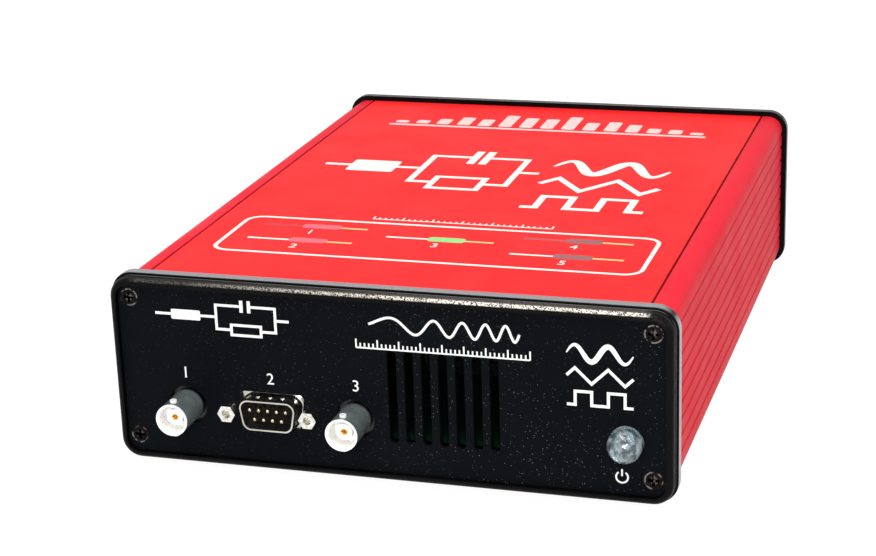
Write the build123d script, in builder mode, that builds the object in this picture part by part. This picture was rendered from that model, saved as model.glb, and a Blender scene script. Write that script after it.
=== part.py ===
"""Benchtop potentiostat in an extruded aluminium case.

Millimetres. +X is to the right seen from the front, +Y is to the rear, +Z is up.
The origin is the centre of the footprint of the whole object, at the underside of the feet.
"""
from build123d import *
from math import cos, radians, sin, sqrt, tan
import os

os.makedirs("parts", exist_ok=True)

# Case section and length
case_w = 165.0
case_h = 54.5
case_len = 214.5
case_corner_r = 5.0
floor_t = 2.2
side_t = 2.0
flute_r = 0.8
flute_depth = 0.4
flute_pitch = 4.96
flute_first = 8.45
flute_count = 9
screw_inset_x = 4.8
screw_inset_low = 6.1
screw_inset_high = 5.0
boss_r = 2.8
boss_hole_r = 1.45

# Sliding top cover
cover_inset = 7.5
cover_t = 1.9
cover_gap = 0.15
cover_edge_w = 5.0
tongue_out = 1.2
tongue_t = 1.2
lip_t = 1.7
edge_v = 0.7

# Card slots inside the side walls
board_t = 1.6
board_height = 9.0
slot_pitch = 12.0
slot_count = 3
slot_play = 0.1
rib_t = 1.5
rib_out = 2.2

# End frames and panels
bezel_out = 1.83
bezel_step = 0.8
bezel_depth = 7.4
bezel_flange_len = 3.3
bezel_round_r = 1.9
bezel_edge_r = 0.4
rim_inset = 1.1
window_inset = 3.0
pad_r = 6.5
panel_recess = 1.5
panel_t = 1.5
panel_gap = 0.15
fit_gap = 0.05

# Panel screws
screw_head_r = 2.75
screw_shank_r = 1.4
screw_hole_r = 1.65
screw_len = 14.0
cross_len = 3.2
cross_w = 0.9
cross_depth = 1.2
cross_taper = 12

# Feet
foot_h = 3.2
foot_r = 6.35
foot_inset_x = 18.0
foot_inset_y = 18.0
foot_edge_r = 1.0

# Vent slots in the front panel
vent_count = 7
vent_pitch = 5.02
vent_w = 2.75
vent_len = 28.5
vent_x = 17.37
vent_height = 24.7

# Front connectors: heights are above the underside of the case
connector_x = -34.85
coax_left_x = -61.35
coax_spacing = 52.0
coax_height = 17.0
coax_hole_r = 5.9
coax_barrel_r = 4.8
coax_reach = 12.5
coax_block_w = 13.4
coax_block_h = 12.0
coax_block_len = 14.0
coax_block_back = 0.4
coax_rim_t = 0.5
coax_rim_r = 4.8
coax_sleeve_t = 0.35
coax_bore_r = 4.05
coax_bore_depth = 8.5
coax_post_r = 2.4
coax_post_depth = 2.7
coax_contact_r = 1.05
coax_contact_bore_r = 0.65
coax_contact_back = 0.2
coax_contact_slot_w = 0.3
coax_contact_slot_len = 3.0
coax_tail_r = 0.5
stud_r = 1.0
stud_reach = 5.5
stud_back = 2.45

dsub_height = 17.15
dsub_w = 16.92
dsub_h = 8.36
dsub_corner_r = 2.2
dsub_side_angle = 10.0
dsub_shell_t = 0.45
dsub_shell_len = 5.9
dsub_flange_end = 2.9
dsub_flange_h = 12.5
dsub_flange_t = 0.8
dsub_flange_r = 1.5
dsub_root_r = 0.8
dsub_cut_gap = 1.1
dsub_cut_r = 1.6
dsub_floor = 1.0
dsub_body_len = 11.0
dsub_body_w = 18.6
dimple_count = 3
dimple_pitch = 3.8
dimple_back = 3.6
dimple_r = 0.75
dimple_rise = 0.25
dimple_taper = 30
pin_r = 0.5
pin_pitch = 2.77
pin_row_gap = 2.84
pin_tip_back = 0.3
pin_point = 0.25
pin_tail_step = 2.4
jack_spacing = 24.99
jack_hex_r = 2.75
jack_hex_len = 5.0
jack_bore_r = 1.2
jack_bore_depth = 4.4
jack_shank_r = 1.35
jack_hole_r = 1.6
jack_nut_len = 2.0

# Indicator lamp
lamp_inset = 12.5
lamp_height = 16.8
lamp_r = 5.0
lamp_reach = 7.2
lamp_flange_r = 5.6
lamp_flange_t = 1.5
lamp_len = 14.7
lamp_gap = 0.15
lamp_post_w = 1.0
lamp_post_t = 0.5
lamp_post_gap = 2.54
lamp_post_depth = 6.5
lamp_cup_h = 1.6
lamp_cup_wall = 0.3
lamp_cup_flare = 15
lamp_cup_bowl = 25
lamp_holder_w = 11.0
lamp_holder_len = 6.0

# Rear connectors, switch and fan
rear_vent_count = 7
fan_x = 35.0
fan_height = 31.0
fan_size = 40.0
fan_depth = 10.0
fan_corner_r = 3.0
fan_bore_r = 19.0
fan_screw_spacing = 32.0
fan_hole_r = 2.1
fan_base_r = 9.5
fan_base_t = 1.5
fan_strut_w = 2.5
fan_strut_count = 4
fan_tube_r = 2.4
fan_tube_len = 6.0
fan_shaft_r = 1.0
fan_shaft_gap = 0.05
fan_shaft_len = 5.2
fan_hub_r = 9.5
fan_hub_t = 1.0
fan_hub_gap = 0.6
fan_hub_len = 7.4
fan_blade_count = 7
fan_blade_tip_r = 17.8
fan_blade_t = 0.9
fan_blade_root_w = 5.6
fan_blade_tip_w = 7.6
fan_blade_root_pitch = 48.0
fan_blade_tip_pitch = 32.0
fan_stator_r = 7.4
fan_stator_t = 4.0
fan_stator_poles = 4
fan_pole_w = 3.4
fan_core_r = 4.2
fan_screw_r = 1.5
fan_screw_head_r = 2.8
fan_screw_head_t = 1.7
fan_screw_head_edge = 1.0
fan_nut_r = 3.1
fan_nut_t = 2.4

switch_x = -60.0
switch_height = 27.0
switch_flange_w = 15.0
switch_flange_h = 21.0
switch_flange_t = 2.0
switch_flange_r = 1.5
switch_edge_r = 0.5
switch_body_w = 12.8
switch_body_h = 19.0
switch_body_len = 14.0
switch_well_w = 11.2
switch_well_h = 17.8
switch_well_depth = 9.0
rocker_w = 10.6
rocker_end_r = 8.6
rocker_tilt = 11.0
rocker_corner_angle = 35.0
rocker_under_angle = 10.0
rocker_pivot_depth = 3.3
rocker_keel = 3.2
rocker_keel_w = 2.4
trunnion_r = 1.2
trunnion_out = 0.8
tab_w = 4.8
tab_t = 0.8
tab_len = 7.0
tab_spacing = 7.0

inlet_x = -32.0
inlet_height = 17.0
inlet_hole_r = 4.4
inlet_body_w = 9.0
inlet_body_h = 11.0
inlet_body_len = 14.0
inlet_bore_r = 3.1
inlet_bore_depth = 9.5
inlet_pin_r = 1.05
inlet_pin_back = 1.0
inlet_pin_seat = 2.0

usb_x = -6.0
usb_shell_w = 12.0
usb_shell_h = 10.6
usb_shell_len = 16.0
usb_shell_t = 0.4
usb_gap = 0.3
usb_proud = 0.4
usb_chamfer = 1.7
usb_tongue_w = 5.6
usb_tongue_h = 3.2
usb_tongue_back = 1.2
usb_core_t = 4.0

# Parts on the main board: places are measured from the front edge of the board
board_end_gap = 0.8
sink_x = 17.0
sink_y = 50.0
sink_w = 44.0
sink_len = 60.0
sink_h = 26.0
sink_base_t = 4.0
sink_fin_count = 9
sink_fin_t = 1.4
transistor_w = 10.0
transistor_t = 4.4
transistor_h = 15.0
transistor_pitch = 14.0
transistor_count = 4
transistor_tab_t = 1.2
transistor_tab_h = 5.0
transistor_leg_h = 4.0
transistor_leg_w = 6.0
transistor_leg_t = 0.6
can_x = -42.0
can_y = 52.0
can_w = 46.0
can_len = 34.0
can_h = 7.0
can_t = 0.4
can_hole_r = 1.5
can_hole_pitch = 9.0
relay_x = -62.0
relay_y = 88.0
relay_w = 10.0
relay_len = 20.0
relay_h = 11.0
relay_pitch = 14.0
relay_count = 4
relay_edge = 0.6
processor_x = -38.0
processor_y = 128.0
processor_w = 14.0
processor_h = 1.4
chip_x = -62.0
chip_y = 112.0
chip_w = 6.0
chip_len = 10.0
chip_h = 1.8
chip_pitch_x = 48.0
chip_pitch_y = 18.0
capacitor_x = -24.0
capacitor_y = 162.0
capacitor_r = 5.0
capacitor_h = 16.0
capacitor_pitch = 14.0
capacitor_edge = 0.5
converter_inset = 22.5
converter_y = 62.0
converter_w = 20.0
converter_len = 32.0
converter_h = 11.0
converter_pitch = 42.0
converter_count = 2
header_w = 8.0
header_len = 6.0
header_h = 5.0
lead_r = 0.7
lead_bend_r = 7.0
lead_spacing = 3.0
lead_drop_back = 14.0
fan_lead_x = -17.0
fan_lead_height = 31.0


# Derived places
case_bottom = foot_h
case_top = case_bottom + case_h
case_mid = case_bottom + case_h / 2
screw_x = case_w / 2 - screw_inset_x
screw_z = (case_bottom + screw_inset_low, case_top - screw_inset_high)
screw_points = [(side * screw_x, z) for side in (-1, 1) for z in screw_z]

# The rocker stands out furthest at the rear and the coaxial jacks at the front.
rocker_lift = rocker_end_r * sin(radians(rocker_corner_angle + rocker_tilt))
rear_reach = switch_flange_t - rocker_pivot_depth + rocker_lift
case_y = (coax_reach - rear_reach) / 2
front_end = case_y - case_len / 2
rear_end = case_y + case_len / 2
front_face = front_end - bezel_depth + panel_recess
rear_face = rear_end + bezel_depth - panel_recess
front_inner = front_face + panel_t
rear_inner = rear_face - panel_t

wall_x = case_w / 2 - side_t
lip_x = case_w / 2 - cover_inset
slot_top = case_top - lip_t
slot_bottom = slot_top - tongue_t - 2 * slot_play
shoulder_z = slot_bottom - lip_t
tongue_top = slot_top - slot_play

board_z = case_bottom + board_height
board_top = board_z + board_t
board_w = 2 * (wall_x - 5 * slot_play)
board_len = case_len - 2 * board_end_gap
board_front = front_end + board_end_gap

coax_z = case_bottom + coax_height
dsub_z = case_bottom + dsub_height
lamp_x = case_w / 2 - lamp_inset
lamp_z = case_bottom + lamp_height
fan_z = case_bottom + fan_height
switch_z = case_bottom + switch_height
inlet_z = case_bottom + inlet_height
vent_z = case_bottom + vent_height
coax_x = [coax_left_x, coax_left_x + coax_spacing]
jack_points = [(connector_x + side * jack_spacing / 2, dsub_z) for side in (-1, 1)]
fan_screw_points = [
    (fan_x + sx * fan_screw_spacing / 2, fan_z + sz * fan_screw_spacing / 2)
    for sx in (-1, 1)
    for sz in (-1, 1)
]
usb_z = board_top + usb_shell_h / 2

low = (Align.CENTER, Align.MIN)


def upright(y):
    """Plane across the case at depth y: sketches read as seen from the front, and extrude frontwards."""
    return Plane.XZ.offset(-y)


def facing(x, y, z, outward):
    """Place on an end face whose own Z points out of it: outward is -1 for the front, 1 for the rear."""
    return Plane((x, y, z), x_dir=(-outward, 0, 0), z_dir=(0, outward, 0)).location


def case_outline(grow):
    """Outline of the case section, grown by a margin, with its corners."""
    with Locations((0, case_mid)):
        RectangleRounded(case_w + 2 * grow, case_h + 2 * grow, case_corner_r + grow)


def d_outline(x, z, grow, corner_r):
    """The D inside the connector's shell, wide side up, grown evenly by a margin."""
    slope = radians(dsub_side_angle)
    width = dsub_w / 2 + grow * (tan(slope) + 1 / cos(slope))
    height = dsub_h / 2 + grow
    narrow = width - 2 * height * tan(slope)
    with Locations((x, z)):
        Polygon((-width, height), (width, height), (narrow, -height), (-narrow, -height), align=None)
    fillet(vertices(), corner_r)


def save(builder, name):
    """Label a finished piece and write it."""
    builder.part.label = name
    export_step(builder.part, f"parts/{name}.step")


# Case extrusion
with BuildPart() as case_extrusion:
    with BuildSketch(upright(rear_end)):
        case_outline(0)
        with Locations((0, case_bottom + floor_t)):
            Rectangle(2 * wall_x, shoulder_z - case_bottom - floor_t, align=low, mode=Mode.SUBTRACT)
        with Locations((0, shoulder_z)):
            Rectangle(2 * lip_x + 2 * cover_gap, case_top, align=low, mode=Mode.SUBTRACT)
        for side in (-1, 1):
            # Each boss is filled out to its corner of the section.
            for z, edge in zip(screw_z, (case_bottom + floor_t / 2, case_top - lip_t)):
                with Locations((side * (screw_x + wall_x + side_t / 2) / 2, (z + edge) / 2)):
                    Rectangle(wall_x + side_t / 2 - screw_x, abs(z - edge))
                with Locations((side * screw_x, z)):
                    Circle(boss_r)
            for slot in range(slot_count):
                slot_floor = board_z - slot_play + slot * slot_pitch
                for rib_low in (slot_floor - rib_t, slot_floor + board_t + 2 * slot_play):
                    with Locations((side * (wall_x - rib_out / 2 + side_t / 4), rib_low)):
                        Rectangle(rib_out + side_t / 2, rib_t, align=low)
            with Locations((side * (lip_x + cover_gap), slot_bottom)):
                Rectangle(2 * tongue_out, slot_top - slot_bottom, align=low, mode=Mode.SUBTRACT)
            with Locations(*[
                (side * (case_w / 2 + flute_r - flute_depth), case_bottom + flute_first + i * flute_pitch)
                for i in range(flute_count)
            ]):
                Circle(flute_r, mode=Mode.SUBTRACT)
            with Locations((side * lip_x, case_top)):
                Rectangle(edge_v, edge_v, rotation=45, mode=Mode.SUBTRACT)
        with Locations(*screw_points):
            Circle(boss_hole_r, mode=Mode.SUBTRACT)
    extrude(amount=case_len)
save(case_extrusion, "case_extrusion")

# Top cover
with BuildPart() as top_cover:
    with BuildSketch(upright(rear_end)):
        with Locations((0, case_top - cover_t)):
            Rectangle(2 * lip_x - 2 * cover_gap, cover_t, align=low)
        for side in (-1, 1):
            with Locations((side * (lip_x + tongue_out - cover_edge_w / 2), tongue_top - tongue_t)):
                Rectangle(cover_edge_w, tongue_t, align=low)
            with Locations((side * lip_x, case_top)):
                Rectangle(edge_v, edge_v, rotation=45, mode=Mode.SUBTRACT)
    extrude(amount=case_len)
save(top_cover, "top_cover")


def end_bezel(end_y, outward):
    """Moulded frame over one end of the case: outward is -1 for the front, 1 for the rear."""
    with BuildPart() as bezel:
        with BuildSketch(upright(end_y)):
            case_outline(bezel_out)
        extrude(amount=-outward * bezel_flange_len)
        fillet(bezel.faces().sort_by(Axis.Y)[0 if outward < 0 else -1].edges(), bezel_edge_r)
        with BuildSketch(upright(end_y + outward * bezel_flange_len)):
            case_outline(bezel_out - bezel_step)
        extrude(amount=-outward * (bezel_depth - bezel_flange_len))
        fillet(bezel.faces().sort_by(Axis.Y)[0 if outward < 0 else -1].edges(), bezel_round_r)
        # Window, left solid round each screw
        with BuildSketch(upright(end_y)):
            case_outline(-window_inset)
            with Locations(*screw_points):
                Circle(pad_r, mode=Mode.SUBTRACT)
        extrude(amount=-outward * bezel_depth, mode=Mode.SUBTRACT)
        # Recess that the panel lies in
        with BuildSketch(upright(end_y + outward * bezel_depth)):
            case_outline(-rim_inset)
        extrude(amount=outward * (panel_recess + panel_t), mode=Mode.SUBTRACT)
        with BuildSketch(upright(end_y)):
            with Locations(*screw_points):
                Circle(screw_hole_r)
        extrude(amount=-outward * bezel_depth, mode=Mode.SUBTRACT)
    return bezel


front_bezel = end_bezel(front_end, -1)
save(front_bezel, "front_bezel")
rear_bezel = end_bezel(rear_end, 1)
save(rear_bezel, "rear_bezel")


def screw_seats(face_y, outward):
    """Countersunk holes for the panel screws."""
    with Locations(*[facing(x, face_y, z, outward) for x, z in screw_points]):
        CounterSinkHole(screw_hole_r, screw_head_r + fit_gap, depth=panel_t, counter_sink_angle=90)


# Front panel
with BuildPart() as front_panel:
    with BuildSketch(upright(front_inner)):
        case_outline(-rim_inset - panel_gap)
        with Locations(*[(x, coax_z) for x in coax_x]):
            Circle(coax_hole_r, mode=Mode.SUBTRACT)
        with Locations((lamp_x, lamp_z)):
            Circle(lamp_r + lamp_gap, mode=Mode.SUBTRACT)
        with Locations(*jack_points):
            Circle(jack_hole_r, mode=Mode.SUBTRACT)
        with Locations((vent_x, vent_z)):
            with GridLocations(vent_pitch, 0, vent_count, 1):
                SlotOverall(vent_len, vent_w, rotation=90, mode=Mode.SUBTRACT)
    extrude(amount=panel_t)
    with BuildSketch(upright(front_inner)):
        d_outline(connector_x, dsub_z, dsub_shell_t + dsub_cut_gap, dsub_cut_r)
    extrude(amount=panel_t, mode=Mode.SUBTRACT)
    screw_seats(front_face, -1)
save(front_panel, "front_panel")

# Rear panel
with BuildPart() as rear_panel:
    with BuildSketch(upright(rear_face)):
        case_outline(-rim_inset - panel_gap)
        with Locations((inlet_x, inlet_z)):
            Circle(inlet_hole_r, mode=Mode.SUBTRACT)
        with Locations((usb_x, usb_z)):
            Rectangle(usb_shell_w + 2 * usb_gap, usb_shell_h + 2 * usb_gap, mode=Mode.SUBTRACT)
        with Locations((switch_x, switch_z)):
            Rectangle(switch_body_w + 2 * fit_gap, switch_body_h + 2 * fit_gap, mode=Mode.SUBTRACT)
        with Locations(*fan_screw_points):
            Circle(fan_screw_r + fit_gap, mode=Mode.SUBTRACT)
        for i in range(rear_vent_count):
            offset_x = (i - (rear_vent_count - 1) / 2) * vent_pitch
            chord = 2 * sqrt((fan_bore_r - vent_w / 2) ** 2 - offset_x ** 2)
            with Locations((fan_x + offset_x, fan_z)):
                SlotOverall(chord, vent_w, rotation=90, mode=Mode.SUBTRACT)
    extrude(amount=panel_t)
    screw_seats(rear_face, 1)
save(rear_panel, "rear_panel")

# Countersunk cross-recess screw, head up, its top at the origin
with BuildPart() as panel_screw:
    with BuildSketch(Plane.XZ):
        with BuildLine():
            Polyline(
                (0, 0),
                (screw_head_r, 0),
                (screw_shank_r, screw_shank_r - screw_head_r),
                (screw_shank_r, -screw_len + screw_shank_r),
                (0, -screw_len),
                close=True,
            )
        make_face()
    revolve(axis=Axis.Z)
    with BuildSketch(Plane.XY):
        Rectangle(cross_len, cross_w)
        Rectangle(cross_w, cross_len)
    extrude(amount=-cross_depth, taper=cross_taper, mode=Mode.SUBTRACT)

for name, face_y, outward in (("front_panel_screws", front_face, -1), ("rear_panel_screws", rear_face, 1)):
    with BuildPart() as screws:
        with Locations(*[facing(x, face_y, z, outward) for x, z in screw_points]):
            add(panel_screw.part)
    save(screws, name)

# Rubber feet
with BuildPart() as rubber_feet:
    with BuildSketch(Plane.XY):
        with Locations((0, case_y)):
            with GridLocations(case_w - 2 * foot_inset_x, case_len - 2 * foot_inset_y, 2, 2):
                Circle(foot_r)
    extrude(amount=foot_h)
    fillet(rubber_feet.faces().group_by(Axis.Z)[0].edges(), foot_edge_r)
save(rubber_feet, "rubber_feet")

# Main board
with BuildPart() as main_board:
    with BuildSketch(Plane.XY.offset(board_z)):
        with Locations((0, board_front)):
            Rectangle(board_w, board_len, align=low)
    extrude(amount=board_t)
save(main_board, "main_board")


def coax_jack(side, x):
    """Coaxial jack with a moulded body, standing on the board and reaching through the panel."""
    tip = front_face - coax_reach
    block_front = front_inner + coax_block_back
    block_rear = block_front + coax_block_len
    floor_y = tip + coax_bore_depth
    post_tip = tip + coax_post_depth
    sleeve_r = coax_bore_r + coax_sleeve_t
    stud_y = tip + stud_back
    contact_tip = post_tip + coax_contact_back
    tail_y = block_rear - coax_block_len / 4

    with BuildPart() as housing:
        with BuildSketch(upright(block_rear)):
            with Locations((x, board_top)):
                Rectangle(coax_block_w, coax_block_h, align=low)
        extrude(amount=coax_block_len)
        with BuildSketch(upright(block_front)):
            with Locations((x, coax_z)):
                Circle(coax_barrel_r)
        extrude(amount=block_front - tip - coax_rim_t)
        with BuildSketch(upright(floor_y + fit_gap)):
            with Locations((x, coax_z)):
                Circle(sleeve_r + fit_gap)
        extrude(amount=coax_bore_depth + fit_gap, mode=Mode.SUBTRACT)
        # Way for the centre contact and its tail
        with BuildSketch(upright(tail_y + coax_contact_r)):
            with Locations((x, coax_z)):
                Circle(coax_contact_r + fit_gap)
        extrude(amount=tail_y - tip, mode=Mode.SUBTRACT)
        with BuildSketch(Plane.XY.offset(board_top)):
            with Locations((x, tail_y)):
                Circle(coax_tail_r + fit_gap)
        extrude(amount=coax_z - board_top, mode=Mode.SUBTRACT)
        with BuildSketch(Plane.XY.offset(coax_z)):
            with Locations((x, stud_y)):
                Circle(stud_r + fit_gap)
        extrude(amount=stud_reach, both=True, mode=Mode.SUBTRACT)
    save(housing, f"{side}_jack_housing")

    with BuildPart() as sleeve:
        with BuildSketch(upright(floor_y)):
            with Locations((x, coax_z)):
                Circle(sleeve_r)
        extrude(amount=coax_bore_depth)
        with BuildSketch(upright(tip + coax_rim_t)):
            with Locations((x, coax_z)):
                Circle(coax_rim_r)
        extrude(amount=coax_rim_t)
        with BuildSketch(upright(floor_y)):
            with Locations((x, coax_z)):
                Circle(coax_bore_r)
        extrude(amount=coax_bore_depth, mode=Mode.SUBTRACT)
        chamfer(sleeve.edges().group_by(Axis.Y)[0].sort_by(SortBy.LENGTH)[0], coax_sleeve_t)
    save(sleeve, f"{side}_jack_sleeve")

    with BuildPart() as insulator:
        with BuildSketch(upright(floor_y)):
            with Locations((x, coax_z)):
                Circle(coax_bore_r - fit_gap)
        extrude(amount=coax_post_r)
        with BuildSketch(upright(floor_y)):
            with Locations((x, coax_z)):
                Circle(coax_post_r)
        extrude(amount=floor_y - post_tip)
        with BuildSketch(upright(floor_y)):
            with Locations((x, coax_z)):
                Circle(coax_contact_r + fit_gap)
        extrude(amount=floor_y - post_tip, mode=Mode.SUBTRACT)
    save(insulator, f"{side}_jack_insulator")

    with BuildPart() as contact:
        with BuildSketch(upright(tail_y)):
            with Locations((x, coax_z)):
                Circle(coax_contact_r)
        extrude(amount=tail_y - contact_tip)
        with BuildSketch(upright(contact_tip + coax_contact_slot_len)):
            with Locations((x, coax_z)):
                Circle(coax_contact_bore_r)
                Rectangle(2 * coax_contact_r, coax_contact_slot_w)
        extrude(amount=coax_contact_slot_len, mode=Mode.SUBTRACT)
        with BuildSketch(Plane.XY.offset(board_top)):
            with Locations((x, tail_y)):
                Circle(coax_tail_r)
        extrude(amount=coax_z - board_top)
    save(contact, f"{side}_jack_contact")

    with BuildPart() as studs:
        for rise in (-1, 1):
            with BuildSketch(Plane.XY.offset(coax_z + rise * (sleeve_r + fit_gap))):
                with Locations((x, stud_y)):
                    Circle(stud_r)
            extrude(amount=rise * (stud_reach - sleeve_r - fit_gap))
    save(studs, f"{side}_jack_studs")


for side, x in zip(("left", "right"), coax_x):
    coax_jack(side, x)

# Nine-way connector: plated shell with its flange behind the panel
with BuildPart() as dsub_shell:
    with BuildSketch(upright(front_inner + dsub_flange_t)):
        with Locations((connector_x, dsub_z)):
            RectangleRounded(jack_spacing + 2 * dsub_flange_end, dsub_flange_h, dsub_flange_r)
        with Locations(*jack_points):
            Circle(jack_hole_r, mode=Mode.SUBTRACT)
    extrude(amount=dsub_flange_t)
    with BuildSketch(upright(front_inner)):
        d_outline(connector_x, dsub_z, dsub_shell_t, dsub_corner_r + dsub_shell_t)
    extrude(amount=dsub_shell_len)
    flange = dsub_shell.faces().filter_by(Axis.Y).group_by(Axis.Y)[1][0]
    fillet(flange.inner_wires().sort_by(SortBy.LENGTH)[-1].edges(), dsub_root_r)
    with BuildSketch(upright(front_inner + dsub_flange_t)):
        d_outline(connector_x, dsub_z, 0, dsub_corner_r)
    extrude(amount=dsub_flange_t + dsub_shell_len, mode=Mode.SUBTRACT)
    # Grounding dimples along the wide side
    for i in range(dimple_count):
        dimple_x = connector_x + (i - (dimple_count - 1) / 2) * dimple_pitch
        with BuildSketch(Plane.XY.offset(dsub_z + dsub_h / 2 + dsub_shell_t)):
            with Locations((dimple_x, front_inner - dsub_shell_len + dimple_back)):
                Circle(dimple_r)
        extrude(amount=dimple_rise, taper=dimple_taper)
save(dsub_shell, "dsub_shell")

dsub_tip = front_inner - dsub_shell_len
dsub_floor_y = front_inner - dsub_floor
dsub_back = front_inner + dsub_flange_t + dsub_body_len
pin_places = [(connector_x + (i - 2) * pin_pitch, dsub_z + pin_row_gap / 2, 0) for i in range(5)]
pin_places += [(connector_x + (i - 1.5) * pin_pitch, dsub_z - pin_row_gap / 2, 1) for i in range(4)]

with BuildPart() as dsub_pins:
    for pin_x, pin_z, row in pin_places:
        tail_y = dsub_back - pin_tail_step * (1 + row)
        with BuildSketch(Plane((pin_x, tail_y, pin_z), x_dir=(1, 0, 0), z_dir=(0, -1, 0))):
            Circle(pin_r)
        extrude(amount=tail_y - dsub_tip - pin_tip_back)
        with BuildSketch(Plane.XY.offset(board_top)):
            with Locations((pin_x, tail_y)):
                Circle(pin_r)
        extrude(amount=pin_z - board_top)
    chamfer(dsub_pins.faces().filter_by(Axis.Y).group_by(Axis.Y)[0].edges(), pin_point)
save(dsub_pins, "dsub_pins")

with BuildPart() as dsub_insulator:
    with BuildSketch(upright(front_inner + dsub_flange_t)):
        d_outline(connector_x, dsub_z, -fit_gap, dsub_corner_r - fit_gap)
    extrude(amount=dsub_flange_t + dsub_floor)
    with BuildSketch(upright(dsub_back)):
        with Locations((connector_x, board_top)):
            Rectangle(dsub_body_w, dsub_z + dsub_h / 2 - board_top, align=low)
    extrude(amount=dsub_body_len)
    for pin_x, pin_z, row in pin_places:
        tail_y = dsub_back - pin_tail_step * (1 + row)
        with BuildSketch(Plane((pin_x, tail_y, pin_z), x_dir=(1, 0, 0), z_dir=(0, -1, 0))):
            Rectangle(2 * pin_r + 2 * fit_gap, 2 * pin_r + 2 * fit_gap)
        extrude(amount=tail_y - dsub_floor_y, mode=Mode.SUBTRACT)
        with BuildSketch(Plane.XY.offset(board_top)):
            with Locations((pin_x, tail_y)):
                Rectangle(2 * pin_r + 2 * fit_gap, 2 * pin_r + 2 * fit_gap)
        extrude(amount=pin_z + pin_r + fit_gap - board_top, mode=Mode.SUBTRACT)
save(dsub_insulator, "dsub_insulator")

with BuildPart() as dsub_jackscrews:
    with BuildSketch(upright(front_face)):
        with Locations(*jack_points):
            RegularPolygon(jack_hex_r, 6)
    extrude(amount=jack_hex_len)
    with BuildSketch(upright(front_face)):
        with Locations(*jack_points):
            Circle(jack_shank_r)
    extrude(amount=-(panel_t + dsub_flange_t + jack_nut_len))
    with BuildSketch(upright(front_face - jack_hex_len)):
        with Locations(*jack_points):
            Circle(jack_bore_r)
    extrude(amount=-jack_bore_depth, mode=Mode.SUBTRACT)
save(dsub_jackscrews, "dsub_jackscrews")

# Indicator lamp: clear body, lead frame and holder
lamp_base = front_face - lamp_reach + lamp_len
with BuildPart() as lamp_leads:
    for side in (-1, 1):
        post_x = lamp_x + side * lamp_post_gap / 2
        with BuildSketch(upright(lamp_base + lamp_holder_len / 2)):
            with Locations((post_x, lamp_z)):
                Rectangle(lamp_post_w, lamp_post_t)
        extrude(amount=lamp_holder_len / 2 + lamp_post_depth)
        with BuildSketch(Plane.XY.offset(board_top)):
            with Locations((post_x, lamp_base + lamp_holder_len / 2 - lamp_post_t / 2)):
                Rectangle(lamp_post_w, lamp_post_t)
        extrude(amount=lamp_z + lamp_post_t / 2 - board_top)
    # Reflector cup on the left post
    with BuildSketch(upright(lamp_base - lamp_post_depth)):
        with Locations((lamp_x - lamp_post_gap / 2, lamp_z)):
            Circle(lamp_post_w)
    extrude(amount=lamp_cup_h, taper=-lamp_cup_flare)
    with BuildSketch(upright(lamp_base - lamp_post_depth - lamp_cup_h / 2)):
        with Locations((lamp_x - lamp_post_gap / 2, lamp_z)):
            Circle(lamp_post_w - lamp_cup_wall)
    extrude(amount=lamp_cup_h / 2, taper=-lamp_cup_bowl, mode=Mode.SUBTRACT)

with BuildPart() as lamp_lens:
    with BuildSketch(upright(lamp_base)):
        with Locations((lamp_x, lamp_z)):
            Circle(lamp_flange_r)
    extrude(amount=lamp_flange_t)
    with BuildSketch(upright(lamp_base)):
        with Locations((lamp_x, lamp_z)):
            Circle(lamp_r)
    extrude(amount=lamp_len - lamp_r)
    with Locations((lamp_x, lamp_base - lamp_len + lamp_r, lamp_z)):
        Sphere(lamp_r)
    add(lamp_leads.part, mode=Mode.SUBTRACT)
save(lamp_lens, "lamp_lens")
save(lamp_leads, "lamp_leads")

with BuildPart() as lamp_holder:
    with BuildSketch(upright(lamp_base + lamp_holder_len)):
        with Locations((lamp_x, board_top)):
            Rectangle(lamp_holder_w, lamp_z + lamp_r - board_top, align=low)
    extrude(amount=lamp_holder_len)
    with BuildSketch(upright(lamp_base + lamp_holder_len / 2 + fit_gap)):
        with Locations((lamp_x, board_top)):
            Rectangle(lamp_post_gap + 2 * lamp_post_w, lamp_z + lamp_post_t - board_top, align=low)
    extrude(amount=lamp_holder_len / 2 + fit_gap, mode=Mode.SUBTRACT)
save(lamp_holder, "lamp_holder")

# Power switch
pivot_y = rear_face + switch_flange_t - rocker_pivot_depth
with BuildPart() as switch_housing:
    with BuildSketch(upright(rear_face)):
        with Locations((switch_x, switch_z)):
            RectangleRounded(switch_flange_w, switch_flange_h, switch_flange_r)
    extrude(amount=-switch_flange_t)
    fillet(switch_housing.faces().sort_by(Axis.Y)[-1].edges(), switch_edge_r)
    with BuildSketch(upright(rear_face)):
        with Locations((switch_x, switch_z)):
            Rectangle(switch_body_w, switch_body_h)
    extrude(amount=switch_body_len)
    with BuildSketch(upright(rear_face + switch_flange_t)):
        with Locations((switch_x, switch_z)):
            Rectangle(switch_well_w, switch_well_h)
    extrude(amount=switch_well_depth, mode=Mode.SUBTRACT)
    with BuildSketch(Plane.YZ.offset(switch_x)):
        with Locations((pivot_y, switch_z)):
            Circle(trunnion_r + fit_gap)
    extrude(amount=rocker_w / 2 + trunnion_out + fit_gap, both=True, mode=Mode.SUBTRACT)
    # Slots for the terminals
    with BuildSketch(upright(rear_face - switch_body_len)):
        with Locations((switch_x, switch_z)):
            with GridLocations(0, tab_spacing, 1, 2):
                Rectangle(tab_w, tab_t)
    extrude(amount=-(switch_body_len - switch_well_depth) / 2, mode=Mode.SUBTRACT)
save(switch_housing, "switch_housing")

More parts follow.
